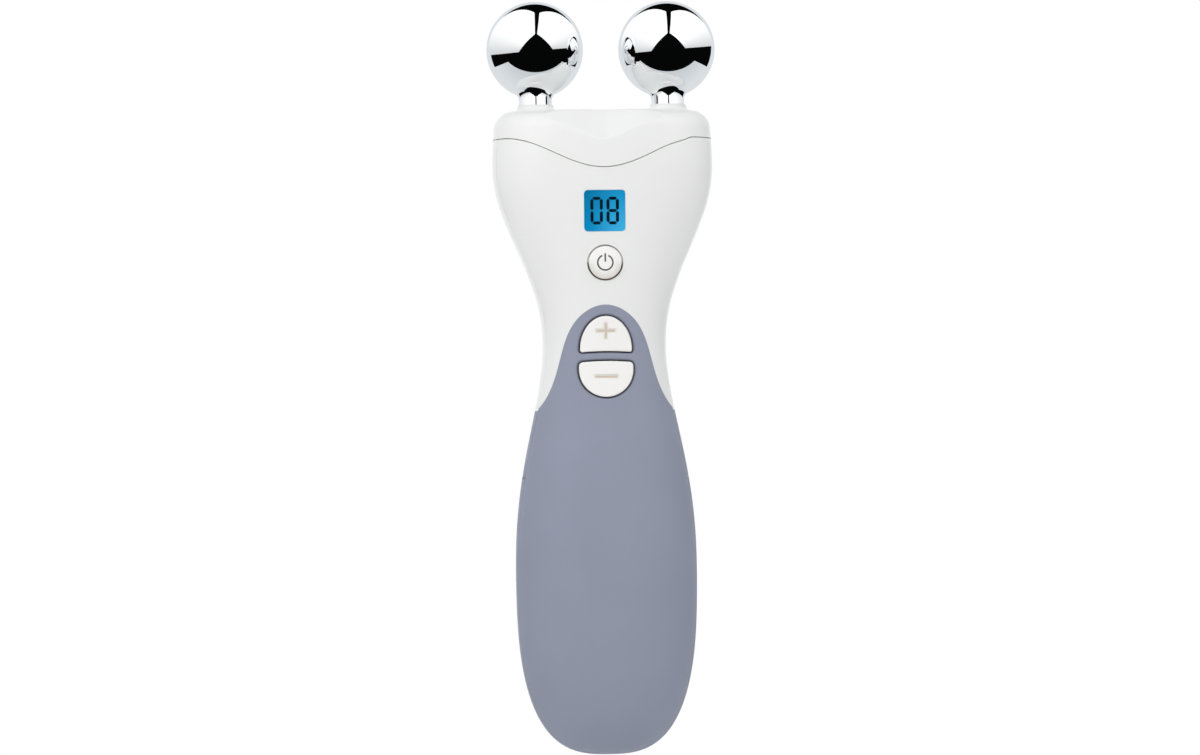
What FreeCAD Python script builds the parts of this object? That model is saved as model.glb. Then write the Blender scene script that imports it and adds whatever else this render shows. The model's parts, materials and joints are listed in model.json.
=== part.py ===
import FreeCAD, Part
import math
import os
from FreeCAD import Vector, Placement, Rotation

# Facial toning device: a hand-held body with two ball electrodes on its head.
# Millimetres. +Z runs up along the handle to the head, and the keys and display face -Y.
# The origin is at the centre of the handle's widest section, where the hand closes on it.

# ---------------------------------------------------------------- driving dimensions

# Body outline. Each level has a height and a half-width, and a depth to the front and to the rear.
TIP_LENGTH = 50.35           # rounded lower end, below the widest section of the handle
TIP_ROUNDNESS = 2.88         # exponent of the lower end's superellipse
TIP_FLAT = 0.25              # the end is flat over this last bit of height
WAIST_Z = 59.5
HEAD_Z = 106.0               # widest level of the head
TOP_Z = 121.3
HANDLE_HALF, HANDLE_FRONT, HANDLE_REAR = 24.2, 18.2, 18.8
WAIST_HALF, WAIST_FRONT, WAIST_REAR = 16.5, 13.2, 13.8
HEAD_HALF, HEAD_FRONT, HEAD_REAR = 29.4, 15.4, 15.0
TOP_HALF, TOP_FRONT, TOP_REAR = 28.5, 14.3, 14.4
FLANK_PULLS = (0.475, 0.30)  # how long the outline stays upright at the handle and at the waist
SHOULDER_PULLS = (0.40, 0.33)   # the same at the waist and at the head
TOP_EDGE_RADIUS = 5.2
SECTION_POWER = 2.5          # exponent of the cross-section's superellipse
SECTION_POINTS = 24

WALL = 2.4                   # shell wall, with the grip's skin where there is one
GRIP_SKIN = 1.2              # soft-touch skin moulded over the shell
PARTING_Y = -5.8             # plane between the front shell and what closes it from behind
PARTING_GAP = 0.15

# Seam between the head cap and the shells: low at the middle, level towards the sides.
SEAM_LOW_Z = 105.6
SEAM_RISE = 8.0
SEAM_SPREAD = 26.5           # half-width over which the seam rises
SEAM_GAP = 0.2
LIP_HEIGHT = 3.0             # the shells' lip inside the cap
LIP_WALL = 1.1
LIP_CLEARANCE = 0.12

# Scoop across the front of the cap, between the bosses
SCOOP_LOW_Z = 113.1          # lowest point of its edge on the cap's front
SCOOP_BACK_ANGLE = 48.0      # slope of its floor, rising to the rear
# Its floor at each distance from the middle, above the line that runs back from the lowest point
SCOOP_PROFILE = [(0.0, 0.0), (3.25, 0.62), (7.2, 2.24), (10.4, 3.08), (13.5, 3.25), (16.5, 3.4), (18.6, 5.5),
                 (20.2, 11.0)]
SCOOP_RIDGE_RADIUS = 0.8

# Ball electrodes: drawn upright, then leaned back about the middle of the bosses' top
ELECTRODE_LEAN = 14.5        # degrees, away from the keys' side
BALL_RADIUS = 12.95
BALL_REACH = 15.63           # from a boss's top to the ball's centre, along the neck
BALL_X = 17.7
NECK_RADIUS = 4.35
NECK_FILLET = 3.4
NECK_SINK = 1.9              # how far the neck goes down into its boss
NECK_FIT = 0.08
BOSS_HEIGHT = 1.7
BOSS_TOP_RADIUS = 4.8
BOSS_BASE_RADIUS = 5.8
SEAL_HEIGHT = 0.35
SEAL_INSET = 0.5
STUD_RADIUS = 2.0
STUD_LENGTH = 9.2            # below the neck
STUD_CLEARANCE = 0.15
SLEEVE_RADIUS = 4.6          # thickened wall around each stud, under the cap's top
SLEEVE_DEPTH = 2.4
WASHER_RADIUS, WASHER_HEIGHT = 4.2, 0.8
TERMINAL_RADIUS, TERMINAL_HEIGHT = 3.8, 0.6
TERMINAL_TAB_LENGTH = 7.0
TERMINAL_TAB_WIDTH = 3.0
LEAD_INSET = 0.4             # from the end of a terminal's tab to its lead
LEAD_DROP = 4.5              # straight run of the lead away from the tab
LEAD_BEHIND, LEAD_ABOVE = 5.2, 1.0   # where it passes the board's top edge
LEAD_TURN = 6.0              # how far behind the board it turns in
LEAD_PAD_DROP = 5.0          # from the board's top edge to its pad
NUT_ACROSS_FLATS, NUT_HEIGHT = 7.0, 2.4

# Front grip: height of its edge at each half-width, as seen from the front
GRIP_EDGE = [(0.0, 69.45), (7.5, 65.7), (11.25, 58.2), (13.4, 50.4), (18.2, 41.7), (27.0, 38.5)]
REAR_GRIP_RISE = 4.5         # the rear edge of the grip bows up by this much at the middle
REAR_GRIP_Z = 38.7

# Battery cover
COVER_TOP_Z = 22.0           # at its sides
COVER_TOP_BOW = 3.5
COVER_GAP = 0.2
COVER_RIB_COUNT = 4
COVER_RIB_PITCH = 4.0
COVER_RIB_TOP_Z = 14.0
COVER_RIB_HALF = 9.0
COVER_RIB_TAPER = 1.1       # each rib is this much shorter at each end than the one above
COVER_RIB_WIDTH = 1.5
COVER_RIB_ROUND = 0.68
COVER_RIB_PROUD = 0.7

# Display
DISPLAY_Z = 94.15
DISPLAY_X = 0.0
DISPLAY_WIDTH, DISPLAY_HEIGHT = 10.8, 10.8
DISPLAY_CORNER = 1.0
WINDOW_THICK = 1.0
WINDOW_GAP = 0.08
WINDOW_LEDGE = 0.9
WINDOW_SINK = 0.15
DIGIT_HEIGHT, DIGIT_WIDTH = 7.3, 3.3
DIGIT_PITCH = 4.25
DIGIT_STROKE = 0.82
DIGIT_SLIT = 0.1
DIGIT_THICK = 0.08
PANEL_THICK = 1.1
BACKLIGHT_THICK = 1.6
LAYER_GAP = 0.02             # between the layers of the display
BACKLIGHT_GAP = 0.1          # round the backlight
FRAME_WALL = 1.2
FRAME_GAP = 0.35             # between the shell's inside and the display frame
FRAME_BOARD_GAP = 0.1
STRIP_HEIGHT = 1.8
STRIP_HALF = 3.6

# Keys
KEY_TRAVEL = 0.8
KEY_PROUD = 0.45
KEY_GAP = 0.3                # between a level key and its opening
KEY_EDGE = 0.35
OPENING_ROUND = 0.6          # softened edge of the grip round the level keys
FLANGE_MARGIN = 1.1          # a return pad is this much wider than its key
FLANGE_REST_GAP = 0.12       # between the pad's flange and the shell's inside
FLANGE_POINTS = 48           # places round its edge where that gap is measured
PAD_THICK = 1.0
PAD_STEM_RADIUS = 2.2
PLUNGER_LENGTH_SPARE = 0.3   # between the plunger's end and the bottom of its socket, key pressed
PLUNGER_CLEAR = 0.5          # between the pad's stem and the switch, key pressed
POWER_Z = 80.5
POWER_RADIUS = 4.33
POWER_GAP = 0.1
POWER_SKIRT = 0.3            # the key's skirt is this much wider than its dome
POWER_SKIRT_SINK = 0.5       # and its front this far below the key's highest point on the shell
POWER_DOME = 24.0            # radius of its face
POWER_PROUD = 0.75           # at its middle
PLUS_TOP_Z, PLUS_LOW_Z, PLUS_HALF = 66.45, 56.9, 6.85
PLUS_CORNER, PLUS_SHOULDER = 0.6, 0.1
MINUS_TOP_Z, MINUS_LOW_Z, MINUS_HALF = 54.3, 45.05, 7.2
MINUS_CORNER, MINUS_SHOULDER = 1.2, 0.7
KEY_BOW = 0.25               # bow of the two edges that face each other
MARK_DEPTH = 0.35
MARK_SINK = 0.1
PLUS_MARK_WIDTH, PLUS_MARK_HEIGHT, PLUS_MARK_STROKE = 5.5, 4.65, 1.0
PLUS_MARK_Z = 62.5
MINUS_MARK_WIDTH, MINUS_MARK_STROKE = 6.5, 1.1
MINUS_MARK_Z = 50.43
POWER_MARK_RADIUS, POWER_MARK_STROKE = 2.2, 0.42
POWER_MARK_OPENING = 24.0    # half-angle of the ring's gap, degrees

# Circuit board, seen from the front as a wide head over a narrow tongue
BOARD_FRONT_Y = -3.2
BOARD_THICK = 1.2
BOARD_LOW_Z, BOARD_STEP_Z, BOARD_TOP_Z = 26.0, 79.0, 104.0
BOARD_TONGUE_HALF, BOARD_HEAD_HALF = 10.6, 18.0
TRANSFORMER_HALF, TRANSFORMER_TALL, TRANSFORMER_Z = 6.5, 9.0, (84.0, 94.0)
CHIP_HALF, CHIP_TALL, CHIP_Z = 4.5, 1.3, (45.0, 54.0)
SMALL_CHIP_HALF, SMALL_CHIP_TALL = (0.8, 0.4), 0.6
SMALL_CHIP_X, SMALL_CHIP_Z = 7.5, (38.0, 41.0, 44.0, 47.0, 50.0)
CAN_RADIUS, CAN_TALL, CAN_X, CAN_Z = 3.2, 7.0, 5.6, 61.0
BUZZER_RADIUS, BUZZER_TALL, BUZZER_Z = 4.8, 4.5, 72.0
BUZZER_HOLE_RADIUS, BUZZER_HOLE_DEPTH = 0.8, 2.0
SWITCH_SIZE, SWITCH_HEIGHT = 6.0, 3.2
PLUNGER_RADIUS = 1.6
PLUNGER_FIT = 0.08
PLUNGER_SOCKET = 2.2

# Screws
SCREW_RADIUS, SCREW_HEAD_RADIUS, SCREW_HEAD_HEIGHT = 1.1, 2.0, 1.2
SCREW_BITE = 4.0
TRAY_SCREW_BITE = 2.6
SCREW_FIT = 0.05
SCREW_TIP_GAP = 0.3
DRIVE_REACH, DRIVE_HALF, DRIVE_DEPTH = 1.4, 0.25, 0.6   # cross slot in a screw's head
POST_RADIUS = 2.6
BOARD_SCREW_X, BOARD_SCREW_Z = 15.5, (82.0, 100.5)
TONGUE_SCREW_Z = 29.5
HOUSING_SCREW_X, HOUSING_SCREW_Z = 15.5, 20.0
HOUSING_SEAT_Y = 1.5         # where the heads of the housing screws rest
TRAY_SCREW_Z = (-36.0, 21.0)

# Battery, tray and snap
BATTERY_WIDTH, BATTERY_DEPTH, BATTERY_HEIGHT = 26.4, 17.3, 46.4
BATTERY_LOW_Z = -31.0
BATTERY_Y = -0.6
BATTERY_ROUND = 2.0
BATTERY_SIDE_GAP = 0.3
TRAY_WALL = 1.2
TRAY_FIT = 0.3               # between the tray and the shell round it
LUG_HALF = 4.0
RAIL_WIDTH, RAIL_THICK = 2.2, 1.2
RAIL_Y = 0.8
RAIL_LOW_Z, RAIL_TOP_Z = -24.0, 8.0
HOOK_GAP = 0.3
HOOK_THICK = 1.4
HOOK_SIDE_GAP = 0.4
FLANGE_LOW_Z = 13.0          # the rear shell's flange under the cover
FLANGE_INSET = 2.8
FLANGE_WALL = 1.8
FLANGE_COLLAR = 2.5
FLANGE_COLLAR_INSET = 1.9
FLANGE_COLLAR_GAP = 1.0
SNAP_THICK = 3.0
SNAP_GAP = 0.2
SNAP_SPARE = 0.1             # above the battery's contacts, inside the snap
SNAP_WIDTH, SNAP_DEPTH = 25.0, 12.0
STUD_TALL = 1.9              # the battery's own contacts
CONTACT_RADIUS = (2.9, 3.7)
CONTACT_X = 6.4
FOAM_THICK = 2.0
FOAM_HALF = 9.0
FOAM_LOW_Z, FOAM_TOP_Z = -20.0, 5.0
PRESSER_THICK = 1.4
WIRE_X = 4.2
BATTERY_LEAD_RISE = 4.0      # straight run of a battery lead above the snap
BATTERY_LEAD_BEHIND, BATTERY_LEAD_ABOVE = 4.6, 2.5   # where it passes the board's lower edge
BATTERY_LEAD_TURN = 5.2
BATTERY_LEAD_PAD = 8.0       # from the board's lower edge to its pad
WIRE_RADIUS = 0.65

# ---------------------------------------------------------------- helpers


def save(name, shape):
    """Writes one sub-part."""
    shape.exportStep("parts/" + name + ".step")


def box(x0, x1, y0, y1, z0, z1):
    return Part.makeBox(x1 - x0, y1 - y0, z1 - z0, Vector(x0, y0, z0))


def cylinder(radius, start, end):
    start = Vector(*start)
    end = Vector(*end)
    return Part.makeCylinder(radius, (end - start).Length, start, end - start)


def rod_y(radius, x, z, y0, y1):
    """Round bar along Y."""
    return cylinder(radius, (x, y0, z), (x, y1, z))


def joined(shapes):
    """One solid of several that touch or overlap."""
    first = shapes[0]
    return first.fuse(shapes[1:]).removeSplitter()


def group(shapes):
    """Separate solids kept in one node."""
    solids = []
    for shape in shapes:
        solids.extend(shape.Solids)
    return Part.makeCompound(solids)


def largest(shape):
    """The one big solid of a cut, without slivers."""
    return max(shape.Solids, key=lambda solid: solid.Volume)


def polygon_y(points, y0, y1):
    """Prism along Y of a closed outline given as (x, z) points."""
    corners = [Vector(x, y0, z) for x, z in points]
    face = Part.Face(Part.makePolygon(corners + corners[:1]))
    return face.extrude(Vector(0, y1 - y0, 0))


def prism_y(wire, y0, y1):
    """Prism along Y of a closed wire that lies in the plane y = 0."""
    face = Part.Face(wire)
    face.translate(Vector(0, y0, 0))
    return face.extrude(Vector(0, y1 - y0, 0))


def rounded_rectangle(width, height, radius, centre_x=0.0, centre_z=0.0):
    """Closed wire in the plane y = 0."""
    half_w = width / 2 - radius
    half_h = height / 2 - radius
    edges = []
    diagonal = radius * math.sqrt(0.5)
    corners = [(half_w, half_h, 1, 1), (-half_w, half_h, -1, 1),
               (-half_w, -half_h, -1, -1), (half_w, -half_h, 1, -1)]
    ends = []
    for index, (x, z, side, level) in enumerate(corners):
        along = Vector(x + side * radius, 0, z)
        across = Vector(x, 0, z + level * radius)
        middle = Vector(x + side * diagonal, 0, z + level * diagonal)
        first, last = (along, across) if index % 2 == 0 else (across, along)
        edges.append(Part.Arc(first, middle, last).toShape())
        ends.append((first, last))
    for index in range(len(ends)):
        leaving = ends[index][1]
        arriving = ends[(index + 1) % len(ends)][0]
        edges.append(Part.LineSegment(leaving, arriving).toShape())
    wire = Part.Wire(Part.__sortEdges__(edges))
    wire.translate(Vector(centre_x, 0, centre_z))
    return wire


# ---------------------------------------------------------------- the body's form


def eased(z, low_z, low_value, high_z, high_value, low_pull, high_pull):
    """Height to size along a cubic curve that is upright at both ends; pulls lengthen its ends."""
    z1 = low_z + low_pull * (high_z - low_z)
    z2 = high_z - high_pull * (high_z - low_z)
    low, high = 0.0, 1.0
    for _ in range(40):
        t = (low + high) / 2
        u = 1 - t
        height = u**3 * low_z + 3 * u * u * t * z1 + 3 * u * t * t * z2 + t**3 * high_z
        if height < z:
            low = t
        else:
            high = t
    t = (low + high) / 2
    u = 1 - t
    return (u**3 + 3 * u * u * t) * low_value + (3 * u * t * t + t**3) * high_value


def body_size(z, handle, waist, head, top, inset):
    """Half-width or depth of the body at one height, moved in by the inset."""
    if z < 0:
        reach = TIP_LENGTH - inset
        share = max(0.0, 1 - (-z / reach) ** TIP_ROUNDNESS)
        return (handle - inset) * share ** (1 / TIP_ROUNDNESS)
    if z < WAIST_Z:
        return eased(z, 0, handle, WAIST_Z, waist, *FLANK_PULLS) - inset
    if z < HEAD_Z:
        return eased(z, WAIST_Z, waist, HEAD_Z, head, *SHOULDER_PULLS) - inset
    share = (z - HEAD_Z) / (TOP_Z - HEAD_Z)
    return head + (top - head) * share * share - inset


def half_width(z, inset=0.0):
    return body_size(z, HANDLE_HALF, WAIST_HALF, HEAD_HALF, TOP_HALF, inset)


def front_depth(z, inset=0.0):
    return body_size(z, HANDLE_FRONT, WAIST_FRONT, HEAD_FRONT, TOP_FRONT, inset)


def rear_depth(z, inset=0.0):
    return body_size(z, HANDLE_REAR, WAIST_REAR, HEAD_REAR, TOP_REAR, inset)


def section_points(z, inset, at_z):
    """Points round a superellipse with its own depth in front and behind."""
    power = 2 / SECTION_POWER
    points = []
    for index in range(SECTION_POINTS):
        angle = 2 * math.pi * index / SECTION_POINTS
        across = math.cos(angle)
        along = math.sin(angle)
        depth = rear_depth(z, inset) if along > 0 else front_depth(z, inset)
        x = half_width(z, inset) * math.copysign(abs(across) ** power, across)
        y = depth * math.copysign(abs(along) ** power, along)
        points.append(Vector(x, y, at_z))
    return points


def spacing():
    """Curve parameters that every section shares: distances round the handle's widest section."""
    points = section_points(0.0, 0.0, 0.0)
    values = [0.0]
    for first, second in zip(points, points[1:] + points[:1]):
        values.append(values[-1] + first.distanceToPoint(second))
    return values


def section(z, inset=0.0, at_z=None):
    """Closed cross-section at one height, drawn there or at another height."""
    curve = Part.BSplineCurve()
    points = section_points(z, inset, z if at_z is None else at_z)
    curve.interpolate(Points=points, PeriodicFlag=True, Parameters=spacing())
    return Part.Wire(curve.toShape())


def level_heights(inset, top_z):
    """Heights of the cross-sections, close together where the form turns fast."""
    heights = []
    reach = TIP_LENGTH - inset
    for degrees in (0, 6, 14, 24, 36, 50, 66, 80):
        if degrees == 0:
            heights.append(-(reach - TIP_FLAT))
        else:
            heights.append(-(reach - TIP_FLAT) * math.cos(math.radians(degrees)))
    for share in (0, 0.14, 0.28, 0.42, 0.56, 0.7, 0.85):
        heights.append(share * WAIST_Z)
    for share in (0, 0.15, 0.3, 0.45, 0.6, 0.75, 0.88):
        heights.append(WAIST_Z + share * (HEAD_Z - WAIST_Z))
    for share in (0, 0.33, 0.66, 1.0):
        heights.append(HEAD_Z + share * (top_z - HEAD_Z))
    return heights


def body_form(inset, top_z):
    return Part.makeLoft([section(z, inset) for z in level_heights(inset, top_z)], True, False)


def seam_height(x):
    share = min(abs(x) / SEAM_SPREAD, 1.0)
    return SEAM_LOW_Z + SEAM_RISE * (1 - math.cos(math.pi * share)) / 2


def above_seam(shift):
    """Everything above the seam, moved up by the shift."""
    reach = 2 * BALL_X
    count = 12
    points = []
    for index in range(count + 1):
        x = -SEAM_SPREAD + 2 * SEAM_SPREAD * index / count
        points.append(Vector(x, 0, seam_height(x) + shift))
    curve = Part.BSplineCurve()
    flat = Vector(1, 0, 0)
    curve.interpolate(Points=points, InitialTangent=flat, FinalTangent=flat)
    side_z = points[0].z
    roof_z = 2 * TOP_Z
    outline = [Vector(SEAM_SPREAD, 0, side_z), Vector(reach, 0, side_z), Vector(reach, 0, roof_z),
               Vector(-reach, 0, roof_z), Vector(-reach, 0, side_z), Vector(-SEAM_SPREAD, 0, side_z)]
    wire = Part.Wire([curve.toShape()] + Part.makePolygon(outline).Edges)
    return prism_y(wire, -reach, reach)


def mirrored_curve(half_points):
    """Smooth curve through the given (x, z) points and their mirror images, in the plane y = 0."""
    mirrored = [(-x, z) for x, z in reversed(half_points[1:])]
    curve = Part.BSplineCurve()
    curve.interpolate(Points=[Vector(x, 0, z) for x, z in mirrored + half_points])
    return curve.toShape()


def scoop(moved_in):
    """Air over the front of the cap: a soft V that runs up and back."""
    slope = math.radians(SCOOP_BACK_ANGLE)
    run = Vector(0, math.cos(slope), math.sin(slope))
    inwards = Vector(0, math.sin(slope), -math.cos(slope)) * moved_in
    start = Vector(0, -front_depth(SCOOP_LOW_Z), SCOOP_LOW_Z) - run * HEAD_FRONT + inwards
    side, top = SCOOP_PROFILE[-1]
    roof = 2 * HEAD_HALF
    over = Part.makePolygon([Vector(side, 0, top), Vector(side, 0, roof), Vector(-side, 0, roof),
                             Vector(-side, 0, top)])
    face = Part.Face(Part.Wire([mirrored_curve(SCOOP_PROFILE)] + over.Edges))
    face.translate(start)
    return face.extrude(run * (4 * HEAD_FRONT))


FAR = 3 * TIP_LENGTH         # beyond the object in any direction


def space(x0=-FAR, x1=FAR, y0=-FAR, y1=FAR, z0=-FAR, z1=FAR):
    """Box of space, open-ended where a side isn't given."""
    return box(x0, x1, y0, y1, z0, z1)


def under_curve(edge_points, y0, y1):
    """Space below a smooth edge given by its right half, as (x, z), and mirrored."""
    side, level = edge_points[-1]
    under = Part.makePolygon([Vector(side, 0, level), Vector(side, 0, -FAR), Vector(-side, 0, -FAR),
                              Vector(-side, 0, level)])
    return prism_y(Part.Wire([mirrored_curve(edge_points)] + under.Edges), y0, y1)


def under_arc(side_z, bow, y0, y1):
    """Space below an edge that bows up across the whole width."""
    reach = HEAD_HALF
    return under_curve([(0.0, side_z + bow), (reach * 0.5, side_z + bow * 0.75), (reach, side_z)], y0, y1)


# ---------------------------------------------------------------- forms that several pieces share

FRONT = space(y1=PARTING_Y)
REAR = space(y0=PARTING_Y + PARTING_GAP)
TOP_OF_SLEEVE_Z = TOP_Z - WALL
SLEEVE_LOW_Z = TOP_OF_SLEEVE_Z - SLEEVE_DEPTH
BOSS_TOP_Z = TOP_Z + BOSS_HEIGHT
BALL_UPRIGHT_Z = BOSS_TOP_Z + BALL_REACH
NECK_LOW_Z = BOSS_TOP_Z - NECK_SINK
SEAL_LOW_Z = NECK_LOW_Z - SEAL_HEIGHT


def outer_form():
    """The outer surface, with its top edge rounded."""
    plain = body_form(0.0, TOP_Z)
    top_edges = [edge for edge in plain.Edges if abs(edge.BoundBox.ZMin - TOP_Z) < 0.01]
    return plain.makeFillet(TOP_EDGE_RADIUS, top_edges)


OUTER = outer_form()
UNDER_SKIN = body_form(GRIP_SKIN, TOP_Z)
INNER = body_form(WALL, TOP_OF_SLEEVE_Z)
LIP_FORM = body_form(WALL - LIP_WALL, TOP_Z)
LIP_RECESS_FORM = body_form(WALL - LIP_WALL - LIP_CLEARANCE, TOP_Z)
SHELL = OUTER.cut(above_seam(0)).fuse(LIP_FORM.cut(above_seam(LIP_HEIGHT))).cut(INNER)


def leaned_point(x, z):
    """Where a point of an upright electrode's middle plane comes to lie."""
    pivot = Vector(0, 0, BOSS_TOP_Z)
    return pivot + Rotation(Vector(1, 0, 0), -ELECTRODE_LEAN).multVec(Vector(x, 0, z) - pivot)


def leaned(shape):
    """Leans a piece that is drawn upright back with its electrode."""
    turned = shape.copy()
    turned.rotate(Vector(0, 0, BOSS_TOP_Z), Vector(1, 0, 0), -ELECTRODE_LEAN)
    return turned


def shifted(shape, along_y):
    moved = shape.copy()
    moved.translate(Vector(0, along_y, 0))
    return moved


def inner_front_y(x, z):
    """Where the front wall's inside lies."""
    share = min(1.0, abs(x) / half_width(z, WALL)) ** SECTION_POWER
    return -front_depth(z, WALL) * (1 - share) ** (1 / SECTION_POWER)


# ---------------------------------------------------------------- electrodes


def boss(x):
    """Flared boss on the cap, under an electrode's neck."""
    low = TOP_Z - WALL / 2
    flare = 0.55 * (BOSS_BASE_RADIUS - BOSS_TOP_RADIUS)
    foot = Vector(BOSS_BASE_RADIUS, 0, TOP_Z)
    bend = Vector(BOSS_TOP_RADIUS + 0.5 * flare, 0, TOP_Z + 0.35 * BOSS_HEIGHT)
    rim = Vector(BOSS_TOP_RADIUS, 0, BOSS_TOP_Z)
    edges = [Part.LineSegment(Vector(0, 0, low), Vector(BOSS_BASE_RADIUS, 0, low)).toShape(),
             Part.LineSegment(Vector(BOSS_BASE_RADIUS, 0, low), foot).toShape(),
             Part.Arc(foot, bend, rim).toShape(),
             Part.LineSegment(rim, Vector(0, 0, BOSS_TOP_Z)).toShape(),
             Part.LineSegment(Vector(0, 0, BOSS_TOP_Z), Vector(0, 0, low)).toShape()]
    solid = Part.Face(Part.Wire(edges)).revolve(Vector(0, 0, 0), Vector(0, 0, 1), 360)
    solid.translate(Vector(x, 0, 0))
    return solid


def electrode(x):
    """Ball, neck and threaded stud in one piece."""
    ball = Part.makeSphere(BALL_RADIUS, Vector(x, 0, BALL_UPRIGHT_Z))
    neck = cylinder(NECK_RADIUS, (x, 0, NECK_LOW_Z), (x, 0, BALL_UPRIGHT_Z))
    body = ball.fuse(neck).removeSplitter()
    meeting_z = BALL_UPRIGHT_Z - math.sqrt(BALL_RADIUS**2 - NECK_RADIUS**2)
    meeting = [edge for edge in body.Edges
               if edge.BoundBox.ZLength < 0.01 and abs(edge.BoundBox.ZMin - meeting_z) < 0.01]
    body = body.makeFillet(NECK_FILLET, meeting)
    stud = cylinder(STUD_RADIUS, (x, 0, NECK_LOW_Z - STUD_LENGTH), (x, 0, NECK_LOW_Z))
    return leaned(joined([body, stud]))


def ring(x, radius, low_z, height):
    """Flat ring round a stud."""
    disc = cylinder(radius, (x, 0, low_z), (x, 0, low_z + height))
    hole = cylinder(STUD_RADIUS + STUD_CLEARANCE, (x, 0, low_z - height), (x, 0, low_z + 2 * height))
    return disc.cut(hole)


WASHER_LOW_Z = SLEEVE_LOW_Z - WASHER_HEIGHT
TERMINAL_LOW_Z = WASHER_LOW_Z - TERMINAL_HEIGHT
NUT_LOW_Z = TERMINAL_LOW_Z - NUT_HEIGHT


def terminal(x):
    """Ring terminal with a tab that points to the middle of the head."""
    side = math.copysign(1, x)
    inner_end = x - side * (TERMINAL_RADIUS + TERMINAL_TAB_LENGTH)
    tab = box(min(x, inner_end), max(x, inner_end), -TERMINAL_TAB_WIDTH / 2, TERMINAL_TAB_WIDTH / 2,
              TERMINAL_LOW_Z, TERMINAL_LOW_Z + TERMINAL_HEIGHT)
    hole = cylinder(STUD_RADIUS + STUD_CLEARANCE, (x, 0, TERMINAL_LOW_Z - 1), (x, 0, WASHER_LOW_Z + 1))
    disc = cylinder(TERMINAL_RADIUS, (x, 0, TERMINAL_LOW_Z), (x, 0, WASHER_LOW_Z))
    return joined([disc, tab]).cut(hole)


def nut(x):
    corner = NUT_ACROSS_FLATS / math.sqrt(3)
    points = []
    for index in range(7):
        angle = math.radians(60 * index)
        points.append(Vector(x + corner * math.cos(angle), corner * math.sin(angle), NUT_LOW_Z))
    body = Part.Face(Part.makePolygon(points)).extrude(Vector(0, 0, NUT_HEIGHT))
    return body.cut(cylinder(STUD_RADIUS + PLUNGER_FIT, (x, 0, NUT_LOW_Z - 1), (x, 0, TERMINAL_LOW_Z + 1)))


def wire(points):
    """Insulated lead: straight runs joined by arcs as large as the runs allow."""
    corners = [Vector(*point) for point in points]
    edges = []
    start = corners[0]
    for before, corner, after in zip(corners, corners[1:], corners[2:]):
        arriving = (corner - before).normalize()
        leaving = (after - corner).normalize()
        trim = 0.45 * min((corner - before).Length, (after - corner).Length)
        first = corner - arriving * trim
        last = corner + leaving * trim
        half_turn = arriving.getAngle(leaving) / 2
        radius = trim / math.tan(half_turn)
        to_centre = (leaving - arriving).normalize()
        centre = corner + to_centre * (radius / math.cos(half_turn))
        middle = centre - to_centre * radius
        print("wire bend radius", round(radius, 2))
        edges.append(Part.LineSegment(start, first).toShape())
        edges.append(Part.Arc(first, middle, last).toShape())
        start = last
    edges.append(Part.LineSegment(start, corners[-1]).toShape())
    path = Part.Wire(edges)
    direction = corners[1] - corners[0]
    profile = Part.Wire(Part.Circle(corners[0], direction, WIRE_RADIUS).toShape())
    return path.makePipeShell([profile], True, False)


def electrode_lead(tab_x):
    """From a terminal's tab, over the board's top edge to a pad on its rear."""
    pad_z = BOARD_TOP_Z - LEAD_PAD_DROP
    return wire([leaned_point(tab_x, TERMINAL_LOW_Z), leaned_point(tab_x, TERMINAL_LOW_Z - LEAD_DROP),
                 Vector(tab_x, BOARD_REAR_Y + LEAD_BEHIND, BOARD_TOP_Z + LEAD_ABOVE),
                 Vector(tab_x, BOARD_REAR_Y + LEAD_TURN, pad_z), Vector(tab_x, BOARD_REAR_Y, pad_z)])


def make_electrodes():
    tab_x = BALL_X - TERMINAL_RADIUS - TERMINAL_TAB_LENGTH + WIRE_RADIUS + LEAD_INSET
    for name, side in (("left", -1), ("right", 1)):
        x = side * BALL_X
        save(name + "_electrode", electrode(x))
        save(name + "_electrode_seal", leaned(ring(x, NECK_RADIUS - SEAL_INSET, SEAL_LOW_Z, SEAL_HEIGHT)))
        save(name + "_electrode_wire", electrode_lead(side * tab_x))
    sides = (-BALL_X, BALL_X)
    save("electrode_washers", group([leaned(ring(x, WASHER_RADIUS, WASHER_LOW_Z, WASHER_HEIGHT)) for x in sides]))
    save("electrode_terminals", group([leaned(terminal(x)) for x in sides]))
    save("electrode_nuts", group([leaned(nut(x)) for x in sides]))


# ---------------------------------------------------------------- head cap


def sleeve(x):
    """Thickened wall round a stud, square to it below."""
    whole = leaned(cylinder(SLEEVE_RADIUS, (x, 0, SLEEVE_LOW_Z), (x, 0, TOP_Z)))
    return whole.common(space(z1=TOP_Z - WALL / 2))


def socket(x):
    """Air for a neck, its seal and its stud."""
    neck = cylinder(NECK_RADIUS + NECK_FIT, (x, 0, SEAL_LOW_Z), (x, 0, BALL_UPRIGHT_Z))
    stud = cylinder(STUD_RADIUS + STUD_CLEARANCE, (x, 0, SLEEVE_LOW_Z - SLEEVE_DEPTH), (x, 0, BALL_UPRIGHT_Z))
    return leaned(neck.fuse(stud))


def scooped_form():
    """The outer form with the scoop taken out of it and its ridge softened."""
    air = scoop(0.0)
    form = OUTER.cut(air)
    ridge = []
    for edge in form.Edges:
        middle = edge.valueAt((edge.FirstParameter + edge.LastParameter) / 2)
        on_scoop = air.Shells[0].distToShape(Part.Vertex(middle))[0] < 0.01
        if on_scoop and middle.z < TOP_Z - 0.01:
            ridge.append(edge)
    return form.makeFillet(SCOOP_RIDGE_RADIUS, ridge)


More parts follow.
